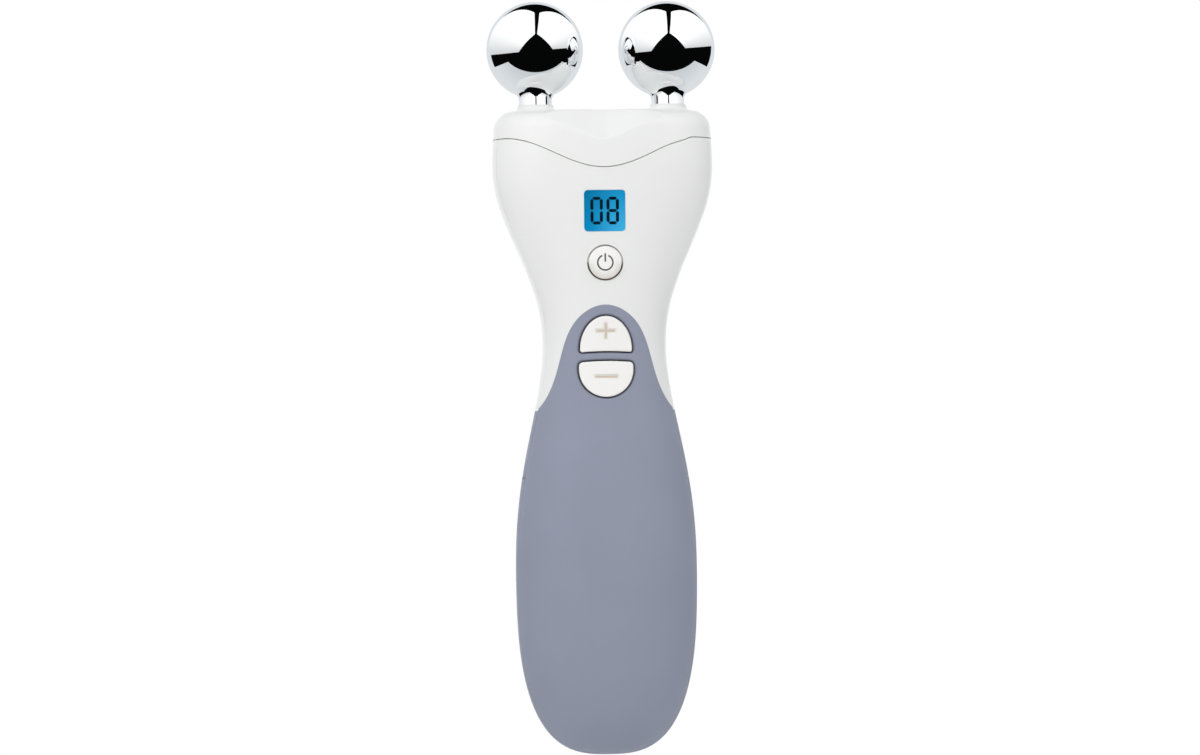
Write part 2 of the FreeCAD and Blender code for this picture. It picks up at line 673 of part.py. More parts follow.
def make_head_cap():
    cap = scooped_form().common(above_seam(SEAM_GAP))
    cap = cap.cut(INNER.cut(scoop(WALL)))
    cap = cap.cut(LIP_RECESS_FORM.cut(above_seam(SEAM_GAP + LIP_HEIGHT)))
    sides = (-BALL_X, BALL_X)
    cap = cap.fuse([boss(x) for x in sides] + [sleeve(x) for x in sides])
    for x in sides:
        cap = cap.cut(socket(x))
    save("head_cap", largest(cap))


# ---------------------------------------------------------------- display

DISPLAY_TILT = math.degrees(math.atan((front_depth(DISPLAY_Z + 3) - front_depth(DISPLAY_Z - 3)) / 6))
DIGITS_FRONT = WINDOW_THICK + LAYER_GAP
PANEL_FRONT = DIGITS_FRONT + DIGIT_THICK + LAYER_GAP
PANEL_BACK = PANEL_FRONT + PANEL_THICK
POCKET_DEPTH = PANEL_BACK + LAYER_GAP


def on_display(shape):
    """Places a piece drawn about the display's centre, its face at y = 0."""
    turn = Rotation(Vector(1, 0, 0), DISPLAY_TILT)
    centre = Vector(DISPLAY_X, -front_depth(DISPLAY_Z) + WINDOW_SINK, DISPLAY_Z)
    placed = shape.copy()
    placed.Placement = Placement(centre, turn).multiply(shape.Placement)
    return placed


def segment(x0, z0, x1, z1):
    """One bar of a figure between two of its corners, with mitred ends."""
    half = DIGIT_STROKE / 2
    if abs(x1 - x0) > abs(z1 - z0):
        a, b = x0 + DIGIT_SLIT, x1 - DIGIT_SLIT
        points = [(a, z0), (a + half, z0 + half), (b - half, z0 + half), (b, z0),
                  (b - half, z0 - half), (a + half, z0 - half)]
    else:
        a, b = z0 + DIGIT_SLIT, z1 - DIGIT_SLIT
        points = [(x0, a), (x0 + half, a + half), (x0 + half, b - half), (x0, b),
                  (x0 - half, b - half), (x0 - half, a + half)]
    return polygon_y(points, DIGITS_FRONT, DIGITS_FRONT + DIGIT_THICK)


def figure(centre_x, with_middle_bar):
    """Nought, or eight with its middle bar."""
    half_w = (DIGIT_WIDTH - DIGIT_STROKE) / 2
    half_h = (DIGIT_HEIGHT - DIGIT_STROKE) / 2
    left, right = centre_x - half_w, centre_x + half_w
    bars = [segment(left, half_h, right, half_h), segment(left, -half_h, right, -half_h),
            segment(left, 0, left, half_h), segment(left, -half_h, left, 0),
            segment(right, 0, right, half_h), segment(right, -half_h, right, 0)]
    if with_middle_bar:
        bars.append(segment(left, 0, right, 0))
    return bars


def display_opening():
    pocket = rounded_rectangle(DISPLAY_WIDTH + 2 * WINDOW_GAP, DISPLAY_HEIGHT + 2 * WINDOW_GAP, DISPLAY_CORNER)
    through = rounded_rectangle(DISPLAY_WIDTH - 2 * WINDOW_LEDGE, DISPLAY_HEIGHT - 2 * WINDOW_LEDGE,
                                DISPLAY_CORNER)
    return on_display(joined([prism_y(pocket, -WALL, POCKET_DEPTH), prism_y(through, 0, 2 * WALL)]))


def make_display():
    face = rounded_rectangle(DISPLAY_WIDTH, DISPLAY_HEIGHT, DISPLAY_CORNER)
    save("lcd_window", on_display(prism_y(face, 0, WINDOW_THICK)))
    bars = figure(-DIGIT_PITCH / 2, False) + figure(DIGIT_PITCH / 2, True)
    save("lcd_digits", group([on_display(bar) for bar in bars]))
    save("lcd_panel", on_display(prism_y(face, PANEL_FRONT, PANEL_BACK)))
    deep = front_depth(DISPLAY_Z) + BOARD_FRONT_Y - WINDOW_SINK
    lean = math.tan(math.radians(DISPLAY_TILT)) * (DISPLAY_HEIGHT / 2 + FRAME_WALL)
    frame_back = deep - abs(lean) - FRAME_BOARD_GAP
    frame_front = WALL + FRAME_GAP
    outside = rounded_rectangle(DISPLAY_WIDTH + 2 * FRAME_WALL, DISPLAY_HEIGHT + 2 * FRAME_WALL, DISPLAY_CORNER)
    inside = rounded_rectangle(DISPLAY_WIDTH, DISPLAY_HEIGHT, DISPLAY_CORNER)
    light_back = frame_front + BACKLIGHT_THICK
    frame = prism_y(outside, frame_front, frame_back)
    frame = frame.cut(prism_y(inside, frame_front - 1, light_back))
    ledge = rounded_rectangle(DISPLAY_WIDTH - 2 * WINDOW_LEDGE, DISPLAY_HEIGHT - 2 * WINDOW_LEDGE, DISPLAY_CORNER)
    frame = frame.cut(prism_y(ledge, frame_front, frame_back + 1))
    save("lcd_frame", on_display(frame))
    light = rounded_rectangle(DISPLAY_WIDTH - 2 * BACKLIGHT_GAP, DISPLAY_HEIGHT - 2 * BACKLIGHT_GAP,
                              DISPLAY_CORNER)
    save("lcd_backlight", on_display(prism_y(light, frame_front, light_back - LAYER_GAP)))
    strip_low = -DISPLAY_HEIGHT / 2 + WINDOW_LEDGE + BACKLIGHT_GAP
    strip = box(-STRIP_HALF, STRIP_HALF, light_back, frame_back, strip_low, strip_low + STRIP_HEIGHT)
    save("lcd_contact_strip", on_display(strip))


# ---------------------------------------------------------------- keys

SWITCH_TOP_Y = BOARD_FRONT_Y - SWITCH_HEIGHT
PLUNGER_TOP_Y = SWITCH_TOP_Y - KEY_TRAVEL - PLUNGER_CLEAR


def arc_through(first, middle, last):
    points = [Vector(x, 0, z) for x, z in (first, middle, last)]
    return Part.Arc(*points).toShape()


def half_ellipse(half, height, base_z, rise):
    """Half an ellipse that stands on, or hangs from, the level of its base."""
    centre = Vector(0, 0, base_z)
    right, left = Vector(half, 0, base_z), Vector(-half, 0, base_z)
    end = Vector(0, 0, base_z + rise * height)
    ellipse = Part.Ellipse(end, right, centre) if height > half else Part.Ellipse(right, end, centre)
    first, middle, last = [ellipse.parameter(point) for point in (right, end, left)]
    full = 2 * math.pi
    if (middle - first) % full > (last - first) % full:
        first, last = last, first
    return Part.ArcOfEllipse(ellipse, first, first + (last - first) % full).toShape()


def half_oval(round_z, flat_z, half_width_x, corner, shoulder, growth):
    """Outline of a level key: half an oval with a short upright shoulder and a bowed flat edge."""
    rise = 1 if round_z > flat_z else -1
    half = half_width_x + growth
    corner = corner + growth
    flat_z = flat_z - rise * growth
    corner_z = flat_z + rise * corner
    base_z = corner_z + rise * shoulder
    height = abs(round_z - base_z) + growth
    inner = half - corner
    near = corner * (1 - math.sqrt(0.5))
    left_corner = arc_through((-half, corner_z), (-half + near, flat_z + rise * near), (-inner, flat_z))
    flat = arc_through((-inner, flat_z), (0, flat_z + KEY_BOW), (inner, flat_z))
    right_corner = arc_through((inner, flat_z), (half - near, flat_z + rise * near), (half, corner_z))
    sides = [Part.LineSegment(Vector(x, 0, corner_z), Vector(x, 0, base_z)).toShape() for x in (-half, half)]
    dome = half_ellipse(half, height, base_z, rise)
    return Part.Wire(Part.__sortEdges__([dome, sides[0], left_corner, flat, right_corner, sides[1]]))


def key_outline(name, growth=0.0):
    """A key's outline, or the same outline grown outwards."""
    if name == "plus":
        return half_oval(PLUS_TOP_Z, PLUS_LOW_Z, PLUS_HALF, PLUS_CORNER, PLUS_SHOULDER, growth)
    if name == "minus":
        return half_oval(MINUS_LOW_Z, MINUS_TOP_Z, MINUS_HALF, MINUS_CORNER, MINUS_SHOULDER, growth)
    circle = Part.Circle(Vector(0, 0, POWER_Z), Vector(0, 1, 0), POWER_RADIUS + growth)
    return Part.Wire(circle.toShape())


KEY_CENTRES = {"power": POWER_Z, "plus": PLUS_MARK_Z, "minus": MINUS_MARK_Z}
KEY_GAPS = {"power": POWER_SKIRT + POWER_GAP, "plus": KEY_GAP, "minus": KEY_GAP}


def flange_front_y(name):
    """The pad's flange lies flat, just behind the wall's inside all round its edge."""
    edge = key_outline(name, FLANGE_MARGIN).discretize(Number=FLANGE_POINTS)
    return max(inner_front_y(point.x, point.z) for point in edge) + FLANGE_REST_GAP


def key_opening(name):
    return prism_y(key_outline(name, KEY_GAPS[name]), -FAR, flange_front_y(name))


def cross(width, height, stroke, z):
    upright = box(-stroke / 2, stroke / 2, -FAR, 0, z - height / 2, z + height / 2)
    level = box(-width / 2, width / 2, -FAR, 0, z - stroke / 2, z + stroke / 2)
    return joined([upright, level])


def power_mark():
    """Open ring with an upright bar in its gap."""
    outer = POWER_MARK_RADIUS
    inner = outer - POWER_MARK_STROKE
    loop = rod_y(outer, 0, POWER_Z, -FAR, 0).cut(rod_y(inner, 0, POWER_Z, -FAR, 1))
    spread = math.tan(math.radians(POWER_MARK_OPENING)) * 2 * outer
    notch = polygon_y([(0, POWER_Z), (spread, POWER_Z + 2 * outer), (-spread, POWER_Z + 2 * outer)], -FAR, 1)
    half = POWER_MARK_STROKE / 2
    bar = box(-half, half, -FAR, 0, POWER_Z + half, POWER_Z + outer + half)
    return loop.cut(notch).fuse(bar)


def key_cap(name, surface, mark_surface, mark_floor, mark):
    """A key and the inlaid mark on it."""
    cap = largest(prism_y(key_outline(name), -FAR, flange_front_y(name)).common(surface))
    face = min(cap.Faces, key=lambda one: one.CenterOfMass.y)
    cap = cap.makeFillet(KEY_EDGE, face.Edges)
    if name == "power":
        skirt_y = -front_depth(POWER_Z) + POWER_SKIRT_SINK
        cap = cap.fuse(rod_y(POWER_RADIUS + POWER_SKIRT, 0, POWER_Z, skirt_y, flange_front_y(name)))
    cap = cap.cut(mark.cut(mark_floor))
    save(name + "_button", largest(cap))
    inlay = mark.common(mark_surface).cut(mark_floor)
    save(name + "_symbol", group([inlay]))


def key_works(name):
    """Return pad, plunger and switch behind a key."""
    centre_z = KEY_CENTRES[name]
    front = flange_front_y(name)
    pad = prism_y(key_outline(name, FLANGE_MARGIN), front, front + PAD_THICK)
    stem = rod_y(PAD_STEM_RADIUS, 0, centre_z, front, PLUNGER_TOP_Y)
    save(name + "_button_pad", joined([pad, stem]))
    socket_y = SWITCH_TOP_Y + PLUNGER_SOCKET
    plunger_y = socket_y - KEY_TRAVEL - PLUNGER_LENGTH_SPARE
    save(name + "_switch_plunger", rod_y(PLUNGER_RADIUS, 0, centre_z, PLUNGER_TOP_Y, plunger_y))
    half = SWITCH_SIZE / 2
    body = box(-half, half, SWITCH_TOP_Y, BOARD_FRONT_Y, centre_z - half, centre_z + half)
    save(name + "_switch", body.cut(rod_y(PLUNGER_RADIUS + PLUNGER_FIT, 0, centre_z, SWITCH_TOP_Y - 1, socket_y)))


def make_keys():
    raised = shifted(OUTER, -KEY_PROUD)
    mark_surface = shifted(OUTER, -KEY_PROUD + MARK_SINK)
    mark_floor = shifted(OUTER, -KEY_PROUD + MARK_SINK + MARK_DEPTH)
    plus = cross(PLUS_MARK_WIDTH, PLUS_MARK_HEIGHT, PLUS_MARK_STROKE, PLUS_MARK_Z)
    half = MINUS_MARK_WIDTH / 2
    stroke = MINUS_MARK_STROKE / 2
    minus = box(-half, half, -FAR, 0, MINUS_MARK_Z - stroke, MINUS_MARK_Z + stroke)
    key_cap("plus", raised, mark_surface, mark_floor, plus)
    key_cap("minus", raised, mark_surface, mark_floor, minus)
    apex = -front_depth(POWER_Z) - POWER_PROUD
    centre = Vector(0, apex + POWER_DOME, POWER_Z)
    dome = Part.makeSphere(POWER_DOME, centre)
    lower = Part.makeSphere(POWER_DOME - MARK_SINK, centre)
    floor = Part.makeSphere(POWER_DOME - MARK_SINK - MARK_DEPTH, centre)
    key_cap("power", dome, lower, floor, power_mark())
    for name in KEY_CENTRES:
        key_works(name)


# ---------------------------------------------------------------- shells and grips


def posts(places, radius, end_y):
    """Round posts from the front wall back to one plane."""
    made = []
    for x, z in places:
        made.append(rod_y(radius, x, z, -FAR, end_y).common(UNDER_SKIN))
    return made


BOARD_SCREWS = [(x, z) for z in BOARD_SCREW_Z for x in (-BOARD_SCREW_X, BOARD_SCREW_X)] + [(0, TONGUE_SCREW_Z)]
HOUSING_SCREWS = [(x, HOUSING_SCREW_Z) for x in (-HOUSING_SCREW_X, HOUSING_SCREW_X)]
TRAY_SCREWS = [(0, z) for z in TRAY_SCREW_Z]
TRAY_FLOOR_Y = BATTERY_Y - BATTERY_DEPTH / 2 - BATTERY_SIDE_GAP
TRAY_FRONT_Y = TRAY_FLOOR_Y - TRAY_WALL


def screw_hole(x, z, seat_y, bite):
    return rod_y(SCREW_RADIUS + SCREW_FIT, x, z, seat_y - bite - SCREW_TIP_GAP, seat_y + FAR)


def opening_rim(grip, name):
    """Edges of the grip's outer surface round one key."""
    wall = key_outline(name, KEY_GAPS[name])
    rim = []
    for edge in grip.Edges:
        middle = edge.valueAt((edge.FirstParameter + edge.LastParameter) / 2)
        on_wall = wall.distToShape(Part.Vertex(Vector(middle.x, 0, middle.z)))[0] < 0.01
        if on_wall and OUTER.Shells[0].distToShape(Part.Vertex(middle))[0] < 0.01:
            rim.append(edge)
    return rim


def make_front():
    grip = OUTER.common(FRONT).common(under_curve(GRIP_EDGE, -FAR, FAR)).cut(UNDER_SKIN)
    shell = SHELL.common(FRONT)
    additions = posts(BOARD_SCREWS, POST_RADIUS, BOARD_FRONT_Y)
    additions += posts(HOUSING_SCREWS, POST_RADIUS, PARTING_Y)
    additions += posts(TRAY_SCREWS, POST_RADIUS, TRAY_FRONT_Y)
    shell = shell.cut(grip).fuse(additions)
    for x, z in BOARD_SCREWS:
        shell = shell.cut(screw_hole(x, z, BOARD_FRONT_Y, SCREW_BITE))
    for x, z in HOUSING_SCREWS:
        shell = shell.cut(screw_hole(x, z, PARTING_Y, SCREW_BITE))
    for x, z in TRAY_SCREWS:
        shell = shell.cut(screw_hole(x, z, TRAY_FRONT_Y, TRAY_SCREW_BITE))
    for name in KEY_CENTRES:
        shell = shell.cut(key_opening(name))
        grip = grip.cut(key_opening(name))
    shell = shell.cut(display_opening())
    grip = largest(grip)
    grip = grip.makeFillet(OPENING_ROUND, opening_rim(grip, "plus") + opening_rim(grip, "minus"))
    save("front_shell", largest(shell))
    save("front_grip", grip)


REAR_GRIP_SPACE = under_arc(REAR_GRIP_Z, REAR_GRIP_RISE, -FAR, FAR)
COVER_SPACE = under_arc(COVER_TOP_Z, COVER_TOP_BOW, -FAR, FAR)
BELOW_REAR_SHELL = under_arc(COVER_TOP_Z + COVER_GAP, COVER_TOP_BOW, -FAR, FAR)


def flange_prism(inset, low_z, high_z):
    """Upright prism with the cross-section that the cover's upper edge has."""
    profile = section(COVER_TOP_Z + COVER_TOP_BOW, inset, low_z)
    return Part.Face(profile).extrude(Vector(0, 0, high_z - low_z))


def make_rear():
    shell = SHELL.common(REAR).cut(BELOW_REAR_SHELL)
    grip = OUTER.common(REAR).common(REAR_GRIP_SPACE).cut(BELOW_REAR_SHELL).cut(UNDER_SKIN)
    shell = shell.cut(grip)
    collar_low = COVER_TOP_Z + COVER_TOP_BOW + FLANGE_COLLAR_GAP
    hollow = flange_prism(FLANGE_INSET + FLANGE_WALL, FLANGE_LOW_Z - 1, collar_low + FLANGE_COLLAR + 1)
    flange = flange_prism(FLANGE_INSET, FLANGE_LOW_Z, collar_low + FLANGE_COLLAR)
    collar = flange_prism(FLANGE_COLLAR_INSET, collar_low, collar_low + FLANGE_COLLAR)
    rim = flange.fuse(collar).cut(hollow).common(REAR)
    seats = []
    for x, z in HOUSING_SCREWS:
        seat = rod_y(POST_RADIUS, x, z, PARTING_Y + PARTING_GAP, FAR)
        seats.append(seat.common(flange_prism(FLANGE_INSET, FLANGE_LOW_Z, collar_low)))
    shell = shell.fuse([rim] + seats)
    for x, z in HOUSING_SCREWS:
        shell = shell.cut(rod_y(SCREW_RADIUS + SCREW_FIT, x, z, -FAR, FAR))
        shell = shell.cut(rod_y(SCREW_HEAD_RADIUS + SCREW_FIT, x, z, HOUSING_SEAT_Y, FAR))
    save("rear_shell", largest(shell))
    save("rear_grip", largest(grip))


def cover_ribs():
    """Raised bars under the thumb."""
    raised = shifted(OUTER, COVER_RIB_PROUD)
    bars = []
    for index in range(COVER_RIB_COUNT):
        z = COVER_RIB_TOP_Z - index * COVER_RIB_PITCH
        half = COVER_RIB_HALF - index * COVER_RIB_TAPER
        outline = rounded_rectangle(2 * half, COVER_RIB_WIDTH, COVER_RIB_ROUND, 0, z)
        bars.append(prism_y(outline, 0, FAR).common(raised).cut(UNDER_SKIN))
    return bars


def make_cover():
    hooks = []
    for side in (-1, 1):
        tip = TRAY_HALF + HOOK_SIDE_GAP
        hook_back = RAIL_Y - HOOK_GAP
        x0, x1 = sorted((side * tip, side * HANDLE_HALF))
        bar = box(x0, x1, hook_back - HOOK_THICK, hook_back, RAIL_LOW_Z, RAIL_TOP_Z)
        hooks.append(bar.common(UNDER_SKIN))
    pressers = []
    for x in (-FOAM_HALF / 2, FOAM_HALF / 2):
        rib = box(x - PRESSER_THICK / 2, x + PRESSER_THICK / 2, FOAM_BACK_Y, FAR, FOAM_LOW_Z, FOAM_TOP_Z)
        pressers.append(rib.common(UNDER_SKIN))
    carrier = UNDER_SKIN.common(REAR).common(COVER_SPACE).cut(INNER)
    save("battery_cover", largest(carrier.fuse(hooks + pressers)))
    skin = OUTER.common(REAR).common(COVER_SPACE).cut(UNDER_SKIN)
    save("cover_grip", largest(skin.fuse(cover_ribs())))
    save("battery_foam", box(-FOAM_HALF, FOAM_HALF, FOAM_BACK_Y - FOAM_THICK, FOAM_BACK_Y, FOAM_LOW_Z, FOAM_TOP_Z))


# ---------------------------------------------------------------- battery bay

TRAY_HALF = BATTERY_WIDTH / 2 + BATTERY_SIDE_GAP + TRAY_WALL
BATTERY_TOP_Z = BATTERY_LOW_Z + BATTERY_HEIGHT
BATTERY_REAR_Y = BATTERY_Y + BATTERY_DEPTH / 2
FOAM_BACK_Y = BATTERY_REAR_Y + HOOK_GAP + FOAM_THICK
SNAP_LOW_Z = BATTERY_TOP_Z + SNAP_GAP
SNAP_TOP_Z = SNAP_LOW_Z + SNAP_THICK


def make_tray():
    low = BATTERY_LOW_Z - BATTERY_SIDE_GAP
    well = box(-TRAY_HALF + TRAY_WALL, TRAY_HALF - TRAY_WALL, TRAY_FLOOR_Y, FAR, low, FAR)
    body = box(-TRAY_HALF, TRAY_HALF, TRAY_FRONT_Y, RAIL_Y + RAIL_THICK, low - TRAY_WALL, BATTERY_TOP_Z)
    body = body.common(body_form(WALL + TRAY_FIT, TOP_OF_SLEEVE_Z)).cut(well)
    lugs = []
    for z in TRAY_SCREW_Z:
        end = BATTERY_TOP_Z if z > 0 else low - TRAY_WALL
        reach = z + math.copysign(POST_RADIUS, z)
        z0, z1 = sorted((end - math.copysign(TRAY_WALL, z), reach))
        lugs.append(box(-LUG_HALF, LUG_HALF, TRAY_FRONT_Y, TRAY_FLOOR_Y, z0, z1))
    rails = []
    for side in (-1, 1):
        x0, x1 = sorted((side * (TRAY_HALF - TRAY_WALL), side * (TRAY_HALF + RAIL_WIDTH)))
        rails.append(box(x0, x1, RAIL_Y, RAIL_Y + RAIL_THICK, RAIL_LOW_Z, RAIL_TOP_Z))
    tray = joined([body] + lugs + rails)
    for x, z in TRAY_SCREWS:
        tray = tray.cut(rod_y(SCREW_RADIUS + SCREW_FIT, x, z, -FAR, FAR))
    save("battery_tray", largest(tray))


def make_battery():
    block = box(-BATTERY_WIDTH / 2, BATTERY_WIDTH / 2, BATTERY_Y - BATTERY_DEPTH / 2, BATTERY_REAR_Y,
                BATTERY_LOW_Z, BATTERY_TOP_Z)
    upright = [edge for edge in block.Edges if edge.BoundBox.ZLength > BATTERY_HEIGHT - 0.1]
    save("battery", block.makeFillet(BATTERY_ROUND, upright))
    contacts = []
    snap = box(-SNAP_WIDTH / 2, SNAP_WIDTH / 2, BATTERY_Y - SNAP_DEPTH / 2, BATTERY_Y + SNAP_DEPTH / 2,
               SNAP_LOW_Z, SNAP_TOP_Z)
    for side, radius in zip((-1, 1), CONTACT_RADIUS):
        x = side * CONTACT_X
        top = BATTERY_TOP_Z + STUD_TALL
        contacts.append(cylinder(radius, (x, BATTERY_Y, BATTERY_TOP_Z), (x, BATTERY_Y, top)))
        snap = snap.cut(cylinder(radius + PLUNGER_FIT, (x, BATTERY_Y, BATTERY_TOP_Z), (x, BATTERY_Y, top + SNAP_SPARE)))
    save("battery_contacts", group(contacts))
    save("battery_snap", snap)
    for name, x in (("red", -WIRE_X), ("black", WIRE_X)):
        pad_z = BOARD_LOW_Z + BATTERY_LEAD_PAD
        route = [(x, BATTERY_Y, SNAP_TOP_Z), (x, BATTERY_Y, SNAP_TOP_Z + BATTERY_LEAD_RISE),
                 (x, BOARD_REAR_Y + BATTERY_LEAD_BEHIND, BOARD_LOW_Z + BATTERY_LEAD_ABOVE),
                 (x, BOARD_REAR_Y + BATTERY_LEAD_TURN, pad_z), (x, BOARD_REAR_Y, pad_z)]
        save("battery_wire_" + name, wire(route))


# ---------------------------------------------------------------- circuit board

BOARD_REAR_Y = BOARD_FRONT_Y + BOARD_THICK


def on_board(x0, x1, height, z0, z1):
    """Block standing on the board's rear face."""
    return box(x0, x1, BOARD_REAR_Y, BOARD_REAR_Y + height, z0, z1)


def make_board():
    head = box(-BOARD_HEAD_HALF, BOARD_HEAD_HALF, BOARD_FRONT_Y, BOARD_REAR_Y, BOARD_STEP_Z, BOARD_TOP_Z)
    tongue = box(-BOARD_TONGUE_HALF, BOARD_TONGUE_HALF, BOARD_FRONT_Y, BOARD_REAR_Y, BOARD_LOW_Z, BOARD_STEP_Z)
    board = joined([head, tongue])
    for x, z in BOARD_SCREWS:
        board = board.cut(rod_y(SCREW_RADIUS + SCREW_FIT, x, z, -FAR, FAR))
    save("circuit_board", board)
    half = TRANSFORMER_HALF
    save("output_transformer", on_board(-half, half, TRANSFORMER_TALL, *TRANSFORMER_Z))
    save("controller_chip", on_board(-CHIP_HALF, CHIP_HALF, CHIP_TALL, *CHIP_Z))
    cans = [rod_y(CAN_RADIUS, x, CAN_Z, BOARD_REAR_Y, BOARD_REAR_Y + CAN_TALL) for x in (-CAN_X, CAN_X)]
    save("capacitors", group(cans))
    half_x, half_z = SMALL_CHIP_HALF
    chips = []
    for x in (-SMALL_CHIP_X, SMALL_CHIP_X):
        for z in SMALL_CHIP_Z:
            chips.append(on_board(x - half_x, x + half_x, SMALL_CHIP_TALL, z - half_z, z + half_z))
    save("chip_components", group(chips))
    top_y = BOARD_REAR_Y + BUZZER_TALL
    sounder = rod_y(BUZZER_RADIUS, 0, BUZZER_Z, BOARD_REAR_Y, top_y)
    save("buzzer", sounder.cut(rod_y(BUZZER_HOLE_RADIUS, 0, BUZZER_Z, top_y - BUZZER_HOLE_DEPTH, FAR)))


def screw(x, z, seat_y, thread):
    """Pan-head screw driven towards the front."""
    head = rod_y(SCREW_HEAD_RADIUS, x, z, seat_y, seat_y + SCREW_HEAD_HEIGHT)
    shank = rod_y(SCREW_RADIUS, x, z, seat_y - thread, seat_y)
    floor_y = seat_y + SCREW_HEAD_HEIGHT - DRIVE_DEPTH
    body = joined([head, shank])
    for half_x, half_z in ((DRIVE_REACH, DRIVE_HALF), (DRIVE_HALF, DRIVE_REACH)):
        body = body.cut(box(x - half_x, x + half_x, floor_y, seat_y + FAR, z - half_z, z + half_z))
    return body


def make_screws():
    save("board_screws", group([screw(x, z, BOARD_REAR_Y, BOARD_THICK + SCREW_BITE) for x, z in BOARD_SCREWS]))
    reach = HOUSING_SEAT_Y - PARTING_Y + SCREW_BITE
    save("housing_screws", group([screw(x, z, HOUSING_SEAT_Y, reach) for x, z in HOUSING_SCREWS]))
    save("tray_screws", group([screw(x, z, TRAY_FLOOR_Y, TRAY_WALL + TRAY_SCREW_BITE) for x, z in TRAY_SCREWS]))


def main():
    os.makedirs("parts", exist_ok=True)
    make_electrodes()
    make_head_cap()
    make_display()
    make_keys()
    make_front()
    make_rear()
    make_cover()
    make_tray()
    make_battery()
    make_board()
    make_screws()


main()
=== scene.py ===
import json
import math

import bpy
from mathutils import Matrix, Vector


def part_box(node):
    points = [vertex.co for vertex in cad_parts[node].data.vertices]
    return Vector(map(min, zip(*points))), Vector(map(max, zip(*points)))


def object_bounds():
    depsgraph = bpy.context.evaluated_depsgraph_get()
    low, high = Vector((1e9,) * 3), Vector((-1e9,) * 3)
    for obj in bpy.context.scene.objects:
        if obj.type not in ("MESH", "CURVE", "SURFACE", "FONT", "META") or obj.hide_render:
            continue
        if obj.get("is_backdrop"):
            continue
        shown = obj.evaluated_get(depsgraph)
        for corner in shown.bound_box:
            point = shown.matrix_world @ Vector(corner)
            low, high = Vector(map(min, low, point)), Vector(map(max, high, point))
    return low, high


# Looks of the facial toning device: finishes, soft studio light and the camera.
# Metres, in the model's own frame: +Z up along the handle, the display and keys face -Y.

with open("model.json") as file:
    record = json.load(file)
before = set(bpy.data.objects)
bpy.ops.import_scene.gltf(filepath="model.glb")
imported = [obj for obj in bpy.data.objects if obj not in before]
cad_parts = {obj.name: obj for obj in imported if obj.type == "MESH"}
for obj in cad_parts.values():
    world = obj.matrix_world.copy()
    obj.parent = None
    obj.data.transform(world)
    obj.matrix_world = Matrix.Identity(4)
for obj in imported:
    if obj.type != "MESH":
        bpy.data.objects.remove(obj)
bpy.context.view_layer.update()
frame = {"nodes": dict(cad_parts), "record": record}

# ---------------------------------------------------------------- measures

MM = 0.001
PIXEL = 0.2674 * MM            # one pixel of the photograph at the object
PHOTO_WIDTH, PHOTO_HEIGHT = 1200, 755
HANDLE_CENTRE_PX = (606.5, 565.2)   # where the frame's origin lies in the photograph
CAMERA_DISTANCE = 1.0
CAMERA_TURN = -2.0             # degrees round the object, from straight in front
CAMERA_ROLL = -0.6             # degrees
SENSOR = 36.0                  # millimetres

SOFT_EDGE = 0.3 * MM           # softened edges of the grip and the keys
FINE_EDGE = 0.15 * MM          # and of the white body and the power key
PAINTED_SHADE_REACH = 1.6 * MM       # how far from a corner its painted shade spreads
PAINTED_SHADE_SKY = (0.35, 0.95)     # open share of the sky with full painted shade, and with none
GLOSS_RATE = 3                 # the gloss drifts this many times faster than the tone
HEAD_MIDDLE = (0, 0, 0.10)     # where the lamps point
POWER_Z = 80.5 * MM            # middle of the power key
POWER_RADIUS = 4.33 * MM       # of its white face, inside its skirt
SIGN_STROKE = 1.0 * MM         # width of the plus and minus signs' strokes

# ---------------------------------------------------------------- node helpers


class Nodes:
    """Adds nodes to one tree and wires them up."""

    def __init__(self, tree):
        self.tree = tree

    def add(self, kind, **settings):
        node = self.tree.nodes.new(kind)
        for name, value in settings.items():
            setattr(node, name, value)
        return node

    def link(self, source, target):
        self.tree.links.new(source, target)

    def feed(self, socket, value):
        """A socket takes another socket or a plain value."""
        if isinstance(value, bpy.types.NodeSocket):
            self.link(value, socket)
        else:
            socket.default_value = value

    def math(self, operation, first, second=0.0, third=0.0):
        node = self.add("ShaderNodeMath", operation=operation)
        self.feed(node.inputs[0], first)
        self.feed(node.inputs[1], second)
        self.feed(node.inputs[2], third)
        return node.outputs[0]

    def above(self, value, edge):
        return self.math("GREATER_THAN", value, edge)

    def all_of(self, *masks):
        result = masks[0]
        for mask in masks[1:]:
            result = self.math("MULTIPLY", result, mask)
        return result

    def ramp(self, value, low, high, low_value=0.0, high_value=1.0):
        node = self.add("ShaderNodeMapRange", interpolation_type="SMOOTHSTEP")
        self.feed(node.inputs["Value"], value)
        node.inputs["From Min"].default_value = low
        node.inputs["From Max"].default_value = high
        node.inputs["To Min"].default_value = low_value
        node.inputs["To Max"].default_value = high_value
        return node.outputs["Result"]

    def noise(self, position, scale, detail=2.0, roughness=0.5):
        node = self.add("ShaderNodeTexNoise")
        self.feed(node.inputs["Vector"], position)
        node.inputs["Scale"].default_value = scale
        node.inputs["Detail"].default_value = detail
        node.inputs["Roughness"].default_value = roughness
        return node.outputs["Fac"]

    def painted_corner_shade(self, color, share):
        """The colour with painted shade: darker where the surface lies in a corner and sees little of the
        sky.
        """
        open_sky = self.add("ShaderNodeAmbientOcclusion", samples=8)
        open_sky.inputs["Distance"].default_value = PAINTED_SHADE_REACH
        shade = self.ramp(open_sky.outputs["AO"], *PAINTED_SHADE_SKY, share, 0.0)
        return self.mix_color(shade, color, (0.0, 0.0, 0.0, 1.0))

    def mix_color(self, share, first, second):
        node = self.add("ShaderNodeMix", data_type="RGBA")
        self.feed(node.inputs["Factor"], share)
        self.feed(node.inputs["A"], first)
        self.feed(node.inputs["B"], second)
        return node.outputs["Result"]


